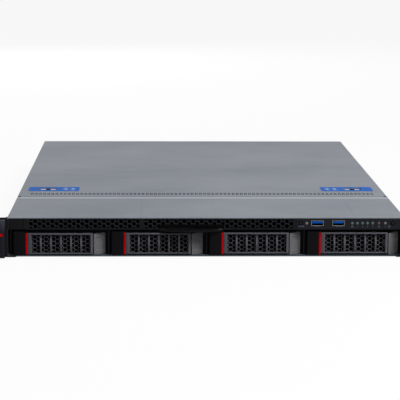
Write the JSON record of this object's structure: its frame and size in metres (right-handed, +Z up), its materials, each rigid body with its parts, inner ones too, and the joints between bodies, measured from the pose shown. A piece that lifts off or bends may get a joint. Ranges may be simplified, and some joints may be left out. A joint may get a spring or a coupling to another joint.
{
  "type": "1u rack server",
  "caption": "Flat rack server with a vented front strip, hot-swap drive trays with hinged grille levers, control panel, lift-off lid, fans and slide-out power supplies.",
  "frame": {"origin": "centre of the outline's box at the bottom face, where the server stands", "axes": "+X to the right seen from the front, +Y from the front face to the rear, +Z up"},
  "size_m": [0.4826, 0.6888, 0.0433],
  "materials": {
    "zinc_steel": "bright galvanised sheet",
    "black_steel": "black powder coat",
    "black_plastic": "satin moulded",
    "grey_plastic": "satin moulded, charcoal grey",
    "red_plastic": "satin moulded, red touch parts",
    "blue_plate": "printed blue touch plate",
    "lamp_lens": "frosted light pipe",
    "button_plastic": "satin moulded",
    "plated_steel": "nickel plated",
    "circuit_board": "solder mask",
    "connector_plastic": "moulded",
    "cast_aluminium": "cast",
    "bare_aluminium": "extruded",
    "psu_case": "satin sheet",
    "orange_plastic": "release tab"
  },
  "bodies": {
    "chassis": {"backplane": "circuit_board", "blank_panel": "black_plastic", "board_parts": "connector_plastic", "chassis_base": "zinc_steel", "control_board": "circuit_board", "control_panel": "black_plastic", "drive_cage": "black_steel", "ear_blocks": "black_plastic", "ear_brackets": "black_steel", "ear_screws": "plated_steel", "ear_stripes": "red_plastic", "fan_frames": "black_plastic", "front_top_plate": "zinc_steel", "heatsinks": "bare_aluminium", "memory_modules": "circuit_board", "motherboard": "circuit_board", "panel_lamps": "lamp_lens", "rear_panel": "zinc_steel", "rear_ports": "plated_steel", "riser_card": "circuit_board", "slot_covers": "zinc_steel", "usb_ports": "plated_steel", "vent_bezel": "black_plastic"},
    "fan_rotor_1": {"fan_rotor_1": "black_plastic"},
    "fan_rotor_2": {"fan_rotor_2": "black_plastic"},
    "fan_rotor_3": {"fan_rotor_3": "black_plastic"},
    "fan_rotor_4": {"fan_rotor_4": "black_plastic"},
    "tray_1": {"tray_sled_1": "black_plastic", "hard_drive_1": "cast_aluminium"},
    "lever_1": {"tray_lever_1": "grey_plastic", "tray_barrel_1": "red_plastic"},
    "latch_1": {"tray_latch_1": "grey_plastic"},
    "tray_2": {"tray_sled_2": "black_plastic", "hard_drive_2": "cast_aluminium"},
    "lever_2": {"tray_lever_2": "grey_plastic", "tray_barrel_2": "red_plastic"},
    "latch_2": {"tray_latch_2": "grey_plastic"},
    "tray_3": {"tray_sled_3": "black_plastic", "hard_drive_3": "cast_aluminium"},
    "lever_3": {"tray_lever_3": "grey_plastic", "tray_barrel_3": "red_plastic"},
    "latch_3": {"tray_latch_3": "grey_plastic"},
    "tray_4": {"tray_sled_4": "black_plastic", "hard_drive_4": "cast_aluminium"},
    "lever_4": {"tray_lever_4": "grey_plastic", "tray_barrel_4": "red_plastic"},
    "latch_4": {"tray_latch_4": "grey_plastic"},
    "power_supply_1": {"power_supply_1": "psu_case"},
    "psu_latch_1": {"psu_latch_1": "orange_plastic"},
    "power_supply_2": {"power_supply_2": "psu_case"},
    "psu_latch_2": {"psu_latch_2": "orange_plastic"},
    "cover": {"top_cover": "zinc_steel", "touch_plates": "blue_plate"},
    "release_button_left": {"release_button_left": "plated_steel"},
    "release_button_right": {"release_button_right": "plated_steel"},
    "info_tab": {"info_tab": "black_plastic"},
    "id_button": {"id_button": "button_plastic"},
    "power_button": {"power_button": "button_plastic"},
    "ear_latch_left": {"ear_latch_left": "black_plastic"},
    "ear_latch_right": {"ear_latch_right": "black_plastic"}
  },
  "joints": [
    {"name": "cover_lift", "type": "slide", "parent": "chassis", "child": "cover", "axis": [0, 0, 1], "range_m": [0, 0.06]},
    {"name": "release_left_press", "type": "slide", "parent": "cover", "child": "release_button_left", "axis": [0, 0, -1], "range_m": [0, 0.003], "stiffness_N_per_m": 500, "springref_m": -0.001},
    {"name": "ear_latch_left_press", "type": "slide", "parent": "chassis", "child": "ear_latch_left", "axis": [0, 1, 0], "range_m": [0, 0.004], "stiffness_N_per_m": 500, "springref_m": -0.001},
    {"name": "release_right_press", "type": "slide", "parent": "cover", "child": "release_button_right", "axis": [0, 0, -1], "range_m": [0, 0.003], "stiffness_N_per_m": 500, "springref_m": -0.001},
    {"name": "ear_latch_right_press", "type": "slide", "parent": "chassis", "child": "ear_latch_right", "axis": [0, 1, 0], "range_m": [0, 0.004], "stiffness_N_per_m": 500, "springref_m": -0.001},
    {"name": "tray_1_slide", "type": "slide", "parent": "chassis", "child": "tray_1", "axis": [0, -1, 0], "range_m": [0, 0.165]},
    {"name": "lever_1_swing", "type": "hinge", "parent": "tray_1", "child": "lever_1", "pos_m": [-0.19795, -0.32919, 0.01445], "axis": [0, 0, -1], "range_deg": [0, 55]},
    {"name": "latch_1_slide", "type": "slide", "parent": "tray_1", "child": "latch_1", "axis": [1, 0, 0], "range_m": [0, 0.0025], "stiffness_N_per_m": 400, "springref_m": -0.001},
    {"name": "tray_2_slide", "type": "slide", "parent": "chassis", "child": "tray_2", "axis": [0, -1, 0], "range_m": [0, 0.165]},
    {"name": "lever_2_swing", "type": "hinge", "parent": "tray_2", "child": "lever_2", "pos_m": [-0.09045, -0.32919, 0.01445], "axis": [0, 0, -1], "range_deg": [0, 55]},
    {"name": "latch_2_slide", "type": "slide", "parent": "tray_2", "child": "latch_2", "axis": [1, 0, 0], "range_m": [0, 0.0025], "stiffness_N_per_m": 400, "springref_m": -0.001},
    {"name": "tray_3_slide", "type": "slide", "parent": "chassis", "child": "tray_3", "axis": [0, -1, 0], "range_m": [0, 0.165]},
    {"name": "lever_3_swing", "type": "hinge", "parent": "tray_3", "child": "lever_3", "pos_m": [0.01705, -0.32919, 0.01445], "axis": [0, 0, -1], "range_deg": [0, 55]},
    {"name": "latch_3_slide", "type": "slide", "parent": "tray_3", "child": "latch_3", "axis": [1, 0, 0], "range_m": [0, 0.0025], "stiffness_N_per_m": 400, "springref_m": -0.001},
    {"name": "tray_4_slide", "type": "slide", "parent": "chassis", "child": "tray_4", "axis": [0, -1, 0], "range_m": [0, 0.165]},
    {"name": "lever_4_swing", "type": "hinge", "parent": "tray_4", "child": "lever_4", "pos_m": [0.12455, -0.32919, 0.01445], "axis": [0, 0, -1], "range_deg": [0, 55]},
    {"name": "latch_4_slide", "type": "slide", "parent": "tray_4", "child": "latch_4", "axis": [1, 0, 0], "range_m": [0, 0.0025], "stiffness_N_per_m": 400, "springref_m": -0.001},
    {"name": "info_tab_slide", "type": "slide", "parent": "chassis", "child": "info_tab", "axis": [0, -1, 0], "range_m": [0, 0.06]},
    {"name": "id_button_press", "type": "slide", "parent": "chassis", "child": "id_button", "axis": [0, 1, 0], "range_m": [0, 0.001], "stiffness_N_per_m": 800, "springref_m": -0.0005},
    {"name": "power_button_press", "type": "slide", "parent": "chassis", "child": "power_button", "axis": [0, 1, 0], "range_m": [0, 0.001], "stiffness_N_per_m": 800, "springref_m": -0.0005},
    {"name": "fan_1_spin", "type": "hinge", "parent": "chassis", "child": "fan_rotor_1", "pos_m": [-0.153, -0.0931, 0.0212], "axis": [0, 1, 0], "continuous": true},
    {"name": "fan_2_spin", "type": "hinge", "parent": "chassis", "child": "fan_rotor_2", "pos_m": [-0.051, -0.0931, 0.0212], "axis": [0, 1, 0], "continuous": true},
    {"name": "fan_3_spin", "type": "hinge", "parent": "chassis", "child": "fan_rotor_3", "pos_m": [0.051, -0.0931, 0.0212], "axis": [0, 1, 0], "continuous": true},
    {"name": "fan_4_spin", "type": "hinge", "parent": "chassis", "child": "fan_rotor_4", "pos_m": [0.153, -0.0931, 0.0212], "axis": [0, 1, 0], "continuous": true},
    {"name": "power_supply_1_slide", "type": "slide", "parent": "chassis", "child": "power_supply_1", "axis": [0, 1, 0], "range_m": [0, 0.19]},
    {"name": "psu_latch_1_press", "type": "slide", "parent": "power_supply_1", "child": "psu_latch_1", "axis": [1, 0, 0], "range_m": [0, 0.003], "stiffness_N_per_m": 500, "springref_m": -0.001},
    {"name": "power_supply_2_slide", "type": "slide", "parent": "chassis", "child": "power_supply_2", "axis": [0, 1, 0], "range_m": [0, 0.19]},
    {"name": "psu_latch_2_press", "type": "slide", "parent": "power_supply_2", "child": "psu_latch_2", "axis": [1, 0, 0], "range_m": [0, 0.003], "stiffness_N_per_m": 500, "springref_m": -0.001}
  ]
}
